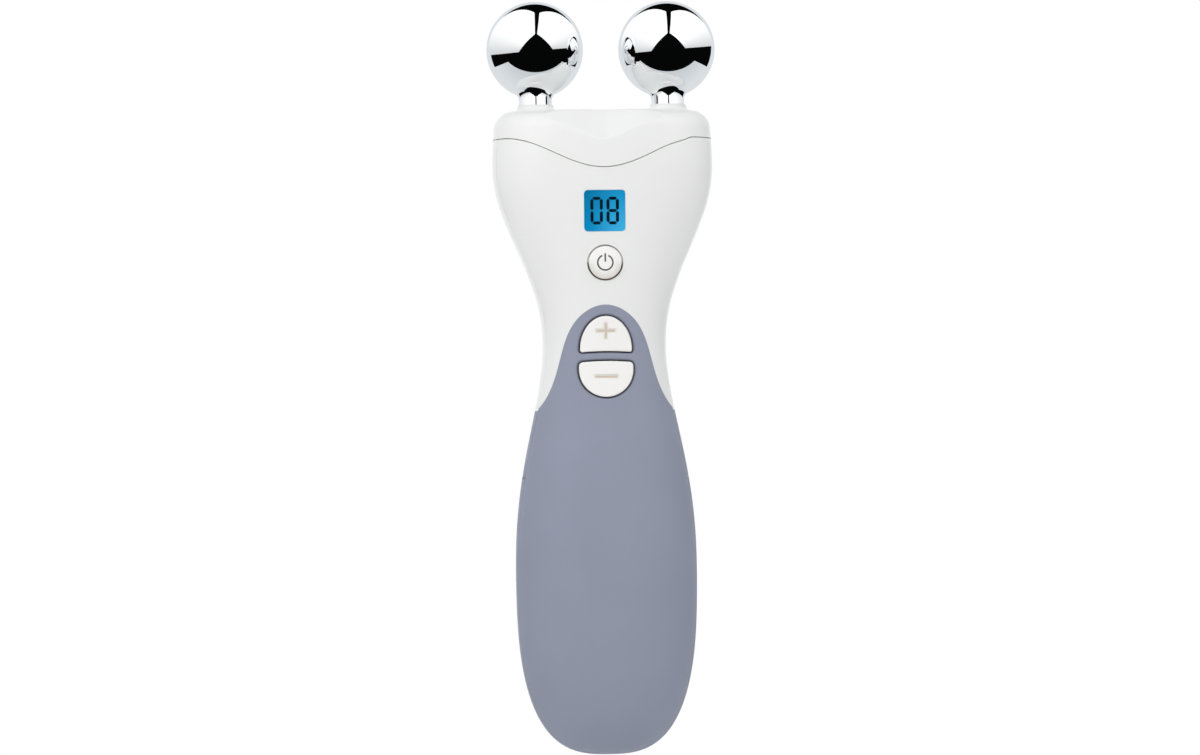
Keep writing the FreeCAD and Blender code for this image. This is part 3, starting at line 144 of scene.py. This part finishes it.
def linear(red, green, blue):
    """Screen colour, 0 to 255, as a linear colour."""
    values = []
    for level in (red, green, blue):
        share = level / 255
        values.append(share / 12.92 if share <= 0.04045 else ((share + 0.055) / 1.055) ** 2.4)
    return (*values, 1.0)


def new_material(name):
    material = bpy.data.materials.new(name)
    material.use_nodes = True
    tree = material.node_tree
    tree.nodes.clear()
    nodes = Nodes(tree)
    shader = nodes.add("ShaderNodeBsdfPrincipled")
    output = nodes.add("ShaderNodeOutputMaterial")
    nodes.link(shader.outputs[0], output.inputs["Surface"])
    position = nodes.add("ShaderNodeTexCoord").outputs["Object"]
    return material, nodes, shader, position


def textured(name, color, roughness, grain, grain_depth, tone=0.03, tone_scale=60.0, rough_spread=0.05,
             edge=0.0, painted_shade_share=0.0, paint=None, **sockets):
    """Moulded finish: faint drift of tone, uneven gloss, and a fine grain in the surface.

    A share above nought paints shade into the corners, darker by that share. Paint adds colours on top: print
    on the signs, painted shade on the power key.
    """
    material, nodes, shader, position = new_material(name)
    drift = nodes.noise(position, tone_scale, 3.0)
    darker = tuple(channel * (1 - tone) for channel in color[:3]) + (1.0,)
    lighter = tuple(min(1.0, channel * (1 + tone)) for channel in color[:3]) + (1.0,)
    shown = nodes.mix_color(drift, darker, lighter)
    if paint:
        shown = paint(nodes, position, shown)
    # Painted shade: the colour is darkened in corners by ambient occlusion.
    if painted_shade_share > 0:
        shown = nodes.painted_corner_shade(shown, painted_shade_share)
    nodes.link(shown, shader.inputs["Base Color"])
    gloss = nodes.noise(position, tone_scale * GLOSS_RATE, 2.0)
    nodes.link(nodes.ramp(gloss, 0.3, 0.7, roughness - rough_spread, roughness + rough_spread),
               shader.inputs["Roughness"])
    bump = nodes.add("ShaderNodeBump")
    bump.inputs["Strength"].default_value = 1.0
    bump.inputs["Distance"].default_value = grain_depth
    nodes.link(nodes.noise(position, grain, 2.0, 0.6), bump.inputs["Height"])
    if edge > 0:
        soft_edge = nodes.add("ShaderNodeBevel", samples=6)
        soft_edge.inputs["Radius"].default_value = edge
        nodes.link(soft_edge.outputs[0], bump.inputs["Normal"])
    nodes.link(bump.outputs[0], shader.inputs["Normal"])
    for socket, value in sockets.items():
        shader.inputs[socket.replace("_", " ")].default_value = value
    return material


def finish_node(node, material):
    slots = frame["nodes"][node].data.materials
    slots.clear()
    slots.append(material)


# ---------------------------------------------------------------- materials


def chrome():
    material, nodes, shader, position = new_material("polished_chrome")
    shader.inputs["Metallic"].default_value = 1.0
    drift = nodes.noise(position, 40.0, 3.0)
    silver = nodes.mix_color(drift, (0.90, 0.915, 0.93, 1), (0.94, 0.95, 0.96, 1))
    nodes.link(silver, shader.inputs["Base Color"])
    polish = nodes.noise(position, 300.0, 4.0)
    nodes.link(nodes.ramp(polish, 0.35, 0.75, 0.012, 0.035), shader.inputs["Roughness"])
    return material


def display_glow():
    """Blue panel, deeper at its upper left and paler at its lower right."""
    material, nodes, shader, position = new_material("display_blue")
    low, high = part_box("lcd_panel")
    split = nodes.add("ShaderNodeSeparateXYZ")
    nodes.link(position, split.inputs[0])
    across = nodes.ramp(split.outputs["X"], low.x, high.x)
    upward = nodes.ramp(split.outputs["Z"], low.z, high.z)
    lower = nodes.mix_color(across, linear(2, 136, 190), linear(66, 180, 229))
    upper = nodes.mix_color(across, linear(6, 118, 164), linear(30, 150, 204))
    blue = nodes.mix_color(upward, lower, upper)
    mottle = nodes.math("MULTIPLY", nodes.noise(position, 900.0, 2.0), 0.25)
    nodes.link(nodes.mix_color(mottle, blue, linear(6, 140, 192)), shader.inputs["Emission Color"])
    shader.inputs["Emission Strength"].default_value = 0.95
    shader.inputs["Base Color"].default_value = (0.0, 0.01, 0.02, 1)
    shader.inputs["Roughness"].default_value = 0.5
    shader.inputs["Specular IOR Level"].default_value = 0.05
    return material


def window_plastic():
    material, nodes, shader, position = new_material("clear_window")
    shader.inputs["Base Color"].default_value = (0.98, 0.99, 1.0, 1)
    shader.inputs["Transmission Weight"].default_value = 1.0
    shader.inputs["IOR"].default_value = 1.02
    nodes.link(nodes.ramp(nodes.noise(position, 500.0), 0.3, 0.7, 0.0, 0.01), shader.inputs["Roughness"])
    return material


def power_key_painted_shade(nodes, position, shown):
    """Painted shade on the key: its skirt is painted as a dark warm shadow below the white face, and the face
    is painted greyer towards it.
    """
    split = nodes.add("ShaderNodeSeparateXYZ")
    nodes.link(position, split.inputs[0])
    drop = nodes.math("SUBTRACT", POWER_Z, split.outputs["Z"])
    squares = nodes.math("ADD", nodes.math("POWER", split.outputs["X"], 2.0), nodes.math("POWER", drop, 2.0))
    radius = nodes.math("SQRT", squares)
    # Painted shade on the lower half of the face, growing towards its rim.
    lower_half = nodes.ramp(drop, -0.25 * POWER_RADIUS, 0.3 * POWER_RADIUS)
    outward = nodes.ramp(radius, 0.45 * POWER_RADIUS, POWER_RADIUS, 0.0, 0.4)
    painted_dome_shade = nodes.math("MULTIPLY", lower_half, outward)
    shown = nodes.mix_color(painted_dome_shade, shown, linear(186, 178, 166))
    # Painted shadow on the lower half of the skirt, in the gap below the face.
    on_skirt = nodes.above(radius, POWER_RADIUS)
    painted_skirt_shadow = nodes.mix_color(nodes.ramp(drop, 0.6 * POWER_RADIUS, POWER_RADIUS), linear(46, 36, 30),
                            linear(120, 96, 76))
    return nodes.mix_color(nodes.math("MULTIPLY", lower_half, on_skirt), shown, painted_skirt_shadow)


def sign_paint(node, stroke):
    """A sign that is printed softly: its colour fades out towards the edges of its strokes."""
    low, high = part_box(node)
    middle = (low + high) / 2
    half = (high - low) / 2

    def bar(nodes, along, across, reach):
        inside = nodes.ramp(across, 0.1 * stroke, 0.5 * stroke, 1.0, 0.12)
        return nodes.math("MULTIPLY", inside, nodes.ramp(along, reach - 0.6 * stroke, reach, 1.0, 0.0))

    def paint(nodes, position, shown):
        split = nodes.add("ShaderNodeSeparateXYZ")
        nodes.link(position, split.inputs[0])
        off_x = nodes.math("ABSOLUTE", nodes.math("SUBTRACT", split.outputs["X"], middle.x))
        off_z = nodes.math("ABSOLUTE", nodes.math("SUBTRACT", split.outputs["Z"], middle.z))
        level = bar(nodes, off_x, off_z, half.x)
        upright = bar(nodes, off_z, off_x, half.z)
        mask = nodes.math("MAXIMUM", level, upright) if half.z > stroke else level
        return nodes.mix_color(mask, KEY_COLOR + (1.0,), shown)

    return paint


WHITE_COLOR = (0.815, 0.82, 0.81)
KEY_COLOR = (0.88, 0.87, 0.85)
GRIP_COLOR = (0.277, 0.298, 0.380)

WHITE = textured("white_plastic", WHITE_COLOR, 0.3, 2500.0, 0.005 * MM, tone=0.01, rough_spread=0.01,
                 edge=FINE_EDGE, Specular_IOR_Level=0.5, Sheen_Weight=0.8, Sheen_Roughness=0.5)
# Painted shade: the key plastic is darkened in its corners.
KEY_WHITE = textured("key_plastic", KEY_COLOR, 0.34, 2500.0, 0.005 * MM, tone=0.01, edge=SOFT_EDGE,
                     painted_shade_share=0.3, Specular_IOR_Level=0.45)
# The power key carries painted shade on its lower face and skirt.
POWER_WHITE = textured("power_key_plastic", KEY_COLOR, 0.3, 2500.0, 0.005 * MM, tone=0.01, edge=FINE_EDGE,
                       paint=power_key_painted_shade, Specular_IOR_Level=0.45)
# Painted shade: the grip is darkened in its corners and round the keys.
GRIP = textured("grip_rubber", GRIP_COLOR, 0.5, 5200.0, 0.012 * MM, tone=0.05, edge=SOFT_EDGE, painted_shade_share=0.2,
                Specular_IOR_Level=0.2)
PAD_WHITE = textured("power_pad_rubber", (0.8, 0.79, 0.77), 0.6, 3000.0, 0.01 * MM)
# Painted light: the key pads are coloured paler than the grip so that the deep gaps round the plus and minus
# keys look lit.
KEY_PAD_PAINTED_LIGHT = textured("key_pad_rubber", (0.42, 0.43, 0.5), 0.6, 3000.0, 0.01 * MM)
SILICONE = textured("dark_silicone", (0.035, 0.028, 0.022), 0.6, 3000.0, 0.01 * MM, tone=0.1)
DARK = textured("dark_plastic", (0.03, 0.03, 0.033), 0.45, 2500.0, 0.01 * MM, tone=0.1, edge=0.2 * MM)
INK = textured("figure_ink", linear(0, 26, 42), 0.6, 2000.0, 0.002 * MM, tone=0.08, Specular_IOR_Level=0.05)
MARK_GREY = textured("mark_grey", linear(92, 95, 95), 0.5, 4000.0, 0.004 * MM, tone=0.05)
MARK_BEIGE = linear(205, 190, 174)
PLUS_SIGN = textured("plus_sign", MARK_BEIGE, 0.4, 4000.0, 0.004 * MM,
                     paint=sign_paint("plus_symbol", SIGN_STROKE))
MINUS_SIGN = textured("minus_sign", MARK_BEIGE, 0.4, 4000.0, 0.004 * MM,
                      paint=sign_paint("minus_symbol", SIGN_STROKE))
BOARD = textured("board_green", (0.012, 0.11, 0.045), 0.35, 1500.0, 0.01 * MM, tone=0.15, tone_scale=400.0)
MILKY = textured("light_guide", (0.75, 0.8, 0.85), 0.4, 2000.0, 0.004 * MM)
STEEL = textured("steel", (0.58, 0.58, 0.6), 0.3, 3000.0, 0.004 * MM, Metallic=1.0)
BRASS = textured("brass_terminal", (0.72, 0.52, 0.22), 0.3, 3000.0, 0.004 * MM, Metallic=1.0)
COIL = textured("copper_coil", (0.55, 0.26, 0.1), 0.35, 6000.0, 0.05 * MM, Metallic=1.0)
CAN = textured("can_blue", (0.03, 0.06, 0.2), 0.3, 2000.0, 0.004 * MM)
SEAL = textured("seal_rubber", (0.3, 0.3, 0.3), 0.6, 3000.0, 0.01 * MM)
RED = textured("insulation_red", (0.45, 0.015, 0.015), 0.4, 2000.0, 0.006 * MM)
BLACK = textured("insulation_black", (0.015, 0.015, 0.015), 0.4, 2000.0, 0.006 * MM)
LEAD_WHITE = textured("insulation_white", (0.7, 0.7, 0.67), 0.4, 2000.0, 0.006 * MM)
BATTERY = textured("battery_case", (0.09, 0.1, 0.13), 0.3, 1500.0, 0.006 * MM, edge=0.4 * MM, Metallic=0.6)
FOAM = textured("foam", (0.05, 0.05, 0.055), 0.9, 2500.0, 0.15 * MM, tone=0.2)

SLOT_MATERIALS = {
    "white_plastic": WHITE, "key_plastic": KEY_WHITE, "grip_rubber": GRIP, "dark_silicone": SILICONE,
    "dark_plastic": DARK, "figure_ink": INK, "mark_grey": MARK_GREY, "mark_beige": PLUS_SIGN,
    "board_green": BOARD, "light_guide": MILKY, "steel": STEEL, "brass_terminal": BRASS,
    "copper_coil": COIL, "can_blue": CAN, "seal_rubber": SEAL, "insulation_red": RED,
    "insulation_black": BLACK, "insulation_white": LEAD_WHITE, "battery_case": BATTERY, "foam": FOAM,
    "polished_chrome": chrome(), "display_blue": display_glow(), "clear_window": window_plastic(),
}
NODE_MATERIALS = {
    "power_button": POWER_WHITE, "minus_symbol": MINUS_SIGN, "plus_button_pad": KEY_PAD_PAINTED_LIGHT,
    "minus_button_pad": KEY_PAD_PAINTED_LIGHT, "power_button_pad": PAD_WHITE,
}
for subpart in frame["record"]["subparts"]:
    slot_material = SLOT_MATERIALS[subpart["material_slot"]]
    finish_node(subpart["node"], NODE_MATERIALS.get(subpart["node"], slot_material))

# ---------------------------------------------------------------- studio

ROOF_RIDGE_X, ROOF_RIDGE_Z = 0.06, 0.87    # the two overhead softboxes meet here, seen along Y
ROOF_EAVE_LEFT = (-0.82, -0.08)
ROOF_EAVE_RIGHT = (0.92, 0.06)
ROOF_FRONT_Y = -1.0
ROOF_BACK_Y = 0.1                          # at the ridge; the softboxes reach further back lower down
ROOF_BACK_SLANT = 1.3
RIDGE_GAP = 0.055
STUDIO_TILT = 5.0                          # degrees; the lens looks up at the balls by this much
PANEL_LEVEL = 1.15
PANEL_RIM = 0.6                            # share of its light that a softbox keeps at its eave
PANEL_FADE = (0.45, 0.95)                  # how far out from the ridge it loses the rest
NEAREST_REACH = 0.02                       # directions flatter than this miss the roof
DARK_LEVEL = 0.002
BACKDROP_LEVEL = 0.80
BACKDROP_EDGE = 0.68                       # how far back it begins, level with the part
BACKDROP_TOP = 0.2                         # how much further back it begins higher up
TABLE_LEVEL = 0.66
TABLE_FRONT_SLOPE = 0.74                   # its front edge, as depth over height
TABLE_SIDE_SLOPE = 2.4                     # its side edges, as width over drop
TABLE_SHADE_Y = (-0.7, 0.6)                # it brightens from the first depth to the second
SURROUND_LEVELS = (0.16, 0.42)             # soft light from below, and from the sides and above
SURROUND_Z = (-0.7, 0.3)                   # heights between which it changes


def softbox_mask(nodes, x, y, z, eave, side):
    """Where a direction meets one slope of the roof, within its four edges."""
    eave_x, eave_z = eave
    ridge_x = ROOF_RIDGE_X
    area = ridge_x * eave_z - eave_x * ROOF_RIDGE_Z
    slope_x = (eave_z - ROOF_RIDGE_Z) / area
    slope_z = (ridge_x - eave_x) / area
    reach = nodes.math("ADD", nodes.math("MULTIPLY", x, slope_x), nodes.math("MULTIPLY", z, slope_z))
    ahead = nodes.above(reach, NEAREST_REACH)
    safe = nodes.math("MAXIMUM", reach, NEAREST_REACH)
    at_x = nodes.math("DIVIDE", x, safe)
    at_y = nodes.math("DIVIDE", y, safe)
    at_z = nodes.math("DIVIDE", z, safe)
    out = nodes.math("MULTIPLY", nodes.math("SUBTRACT", at_x, ridge_x), side)
    back = nodes.math("ADD", nodes.math("MULTIPLY", out, ROOF_BACK_SLANT), ROOF_BACK_Y)
    before_back = nodes.above(nodes.math("SUBTRACT", back, at_y), 0.0)
    inside = nodes.all_of(ahead, nodes.above(out, RIDGE_GAP), nodes.above(at_z, eave_z),
                          nodes.above(at_y, ROOF_FRONT_Y), before_back)
    return nodes.math("MULTIPLY", inside, nodes.ramp(out, *PANEL_FADE, 1.0, PANEL_RIM))


def studio_world():
    """White to the camera. Glossy surfaces see two softboxes, a white table and backdrop, and a dark room."""
    world = bpy.data.worlds.new("studio")
    bpy.context.scene.world = world
    world.use_nodes = True
    tree = world.node_tree
    tree.nodes.clear()
    nodes = Nodes(tree)
    tip = nodes.add("ShaderNodeVectorRotate", rotation_type="X_AXIS")
    tip.inputs["Angle"].default_value = math.radians(-STUDIO_TILT)
    nodes.link(nodes.add("ShaderNodeTexCoord").outputs["Generated"], tip.inputs["Vector"])
    split = nodes.add("ShaderNodeSeparateXYZ")
    nodes.link(tip.outputs[0], split.inputs[0])
    x, y, z = split.outputs
    left = softbox_mask(nodes, x, y, z, ROOF_EAVE_LEFT, -1)
    right = softbox_mask(nodes, x, y, z, ROOF_EAVE_RIGHT, 1)
    panels = nodes.math("MAXIMUM", left, right)
    backdrop = nodes.above(nodes.math("MULTIPLY_ADD", z, -BACKDROP_TOP, y), BACKDROP_EDGE)
    side = nodes.math("ABSOLUTE", x)
    table = nodes.all_of(nodes.above(nodes.math("MULTIPLY_ADD", z, -TABLE_FRONT_SLOPE, y), 0.0),
                         nodes.above(nodes.math("MULTIPLY", z, -TABLE_SIDE_SLOPE), side))
    table_shade = nodes.ramp(y, *TABLE_SHADE_Y, TABLE_LEVEL, BACKDROP_LEVEL)
    level = nodes.math("MAXIMUM", nodes.math("MULTIPLY", panels, PANEL_LEVEL),
                       nodes.math("MAXIMUM", nodes.math("MULTIPLY", backdrop, BACKDROP_LEVEL),
                                  nodes.math("MULTIPLY", table, table_shade)))
    level = nodes.math("MAXIMUM", level, DARK_LEVEL)
    glossy = nodes.add("ShaderNodeBackground")
    nodes.link(nodes.mix_color(panels, (0.93, 0.97, 1.0, 1), (1, 1, 1, 1)), glossy.inputs["Color"])
    nodes.link(level, glossy.inputs["Strength"])
    diffuse = nodes.add("ShaderNodeBackground")
    diffuse.inputs["Color"].default_value = (0.98, 0.99, 1.0, 1)
    nodes.link(nodes.ramp(z, *SURROUND_Z, *SURROUND_LEVELS), diffuse.inputs["Strength"])
    white = nodes.add("ShaderNodeBackground")
    white.inputs["Color"].default_value = (1, 1, 1, 1)
    path = nodes.add("ShaderNodeLightPath")
    shade = nodes.add("ShaderNodeMixShader")
    nodes.link(path.outputs["Is Glossy Ray"], shade.inputs[0])
    nodes.link(diffuse.outputs[0], shade.inputs[1])
    nodes.link(glossy.outputs[0], shade.inputs[2])
    seen = nodes.add("ShaderNodeMixShader")
    nodes.link(path.outputs["Is Camera Ray"], seen.inputs[0])
    nodes.link(shade.outputs[0], seen.inputs[1])
    nodes.link(white.outputs[0], seen.inputs[2])
    nodes.link(seen.outputs[0], nodes.add("ShaderNodeOutputWorld").inputs[0])


def softbox(name, place, size, power, target):
    """Area light that lights surfaces and leaves reflections to the painted studio."""
    light = bpy.data.lights.new(name, "AREA")
    light.shape = "RECTANGLE"
    light.size, light.size_y = size
    light.energy = power
    lamp = bpy.data.objects.new(name, light)
    bpy.context.scene.collection.objects.link(lamp)
    direction = Vector(target) - Vector(place)
    lamp.matrix_world = Matrix.Translation(place) @ direction.to_track_quat("-Z", "Y").to_matrix().to_4x4()
    lamp.visible_camera = False
    lamp.visible_glossy = False


FLOOR_DROP = 0.10                          # how far the floor lies below the part
FLOOR_RADIUS = 0.75
FLOOR_FADE = (0.2 * FLOOR_RADIUS, 0.6 * FLOOR_RADIUS)   # it turns white between these distances


def floor():
    """Plain pale floor, well below the hand-held part, that fades out to the white surroundings."""
    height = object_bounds()[0][2] - FLOOR_DROP
    bpy.ops.mesh.primitive_circle_add(vertices=96, radius=FLOOR_RADIUS, fill_type="NGON",
                                      location=(0, 0, height))
    disc = bpy.context.object
    disc.name = "floor"
    material, nodes, shader, position = new_material("floor")
    shader.inputs["Roughness"].default_value = 0.9
    drift = nodes.noise(position, 6.0)
    nodes.link(nodes.mix_color(drift, (0.86, 0.86, 0.86, 1), (0.9, 0.9, 0.9, 1)), shader.inputs["Base Color"])
    white = nodes.add("ShaderNodeEmission")
    white.inputs["Strength"].default_value = 1.0
    distance = nodes.add("ShaderNodeVectorMath", operation="LENGTH")
    nodes.link(position, distance.inputs[0])
    fade = nodes.add("ShaderNodeMixShader")
    nodes.link(nodes.ramp(distance.outputs["Value"], *FLOOR_FADE), fade.inputs[0])
    nodes.link(shader.outputs[0], fade.inputs[1])
    nodes.link(white.outputs[0], fade.inputs[2])
    output = [node for node in nodes.tree.nodes if node.type == "OUTPUT_MATERIAL"][0]
    nodes.link(fade.outputs[0], output.inputs["Surface"])
    disc.data.materials.append(material)
    disc.visible_glossy = False
    disc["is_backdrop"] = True


def camera():
    """Straight in front, long lens, turned and rolled as the photograph is."""
    data = bpy.data.cameras.new("camera")
    data.sensor_width = SENSOR
    data.sensor_fit = "HORIZONTAL"
    data.lens = SENSOR * CAMERA_DISTANCE / (PHOTO_WIDTH * PIXEL)
    data.clip_start = 0.01
    view = bpy.data.objects.new("camera", data)
    bpy.context.scene.collection.objects.link(view)
    turn = math.radians(CAMERA_TURN)
    roll = math.radians(CAMERA_ROLL)
    forward = Vector((-math.sin(turn), math.cos(turn), 0))
    right = Vector((math.cos(turn), math.sin(turn), 0))
    up = Vector((0, 0, 1))
    rolled_right = right * math.cos(roll) + up * math.sin(roll)
    rolled_up = up * math.cos(roll) - right * math.sin(roll)
    offset_x = (PHOTO_WIDTH / 2 - HANDLE_CENTRE_PX[0]) * PIXEL
    offset_y = (HANDLE_CENTRE_PX[1] - PHOTO_HEIGHT / 2) * PIXEL
    aim = rolled_right * offset_x + rolled_up * offset_y
    axes = Matrix((rolled_right, rolled_up, -forward)).transposed().to_4x4()
    view.matrix_world = Matrix.Translation(aim - forward * CAMERA_DISTANCE) @ axes
    bpy.context.scene.camera = view


bpy.context.scene.view_settings.view_transform = "Standard"
studio_world()
softbox("left_softbox", (-0.46, -0.40, 0.44), (0.5, 0.5), 2.3, HEAD_MIDDLE)
softbox("right_softbox", (0.50, -0.36, 0.44), (0.4, 0.5), 1.45, HEAD_MIDDLE)
softbox("front_fill", (0.0, -0.75, 0.58), (0.6, 0.4), 1.25, HEAD_MIDDLE)
softbox("back_left_softbox", (-0.4, 0.9, 0.45), (0.6, 0.6), 3.0, HEAD_MIDDLE)
softbox("back_right_softbox", (0.4, 0.9, 0.45), (0.6, 0.6), 2.6, HEAD_MIDDLE)
floor()
camera()
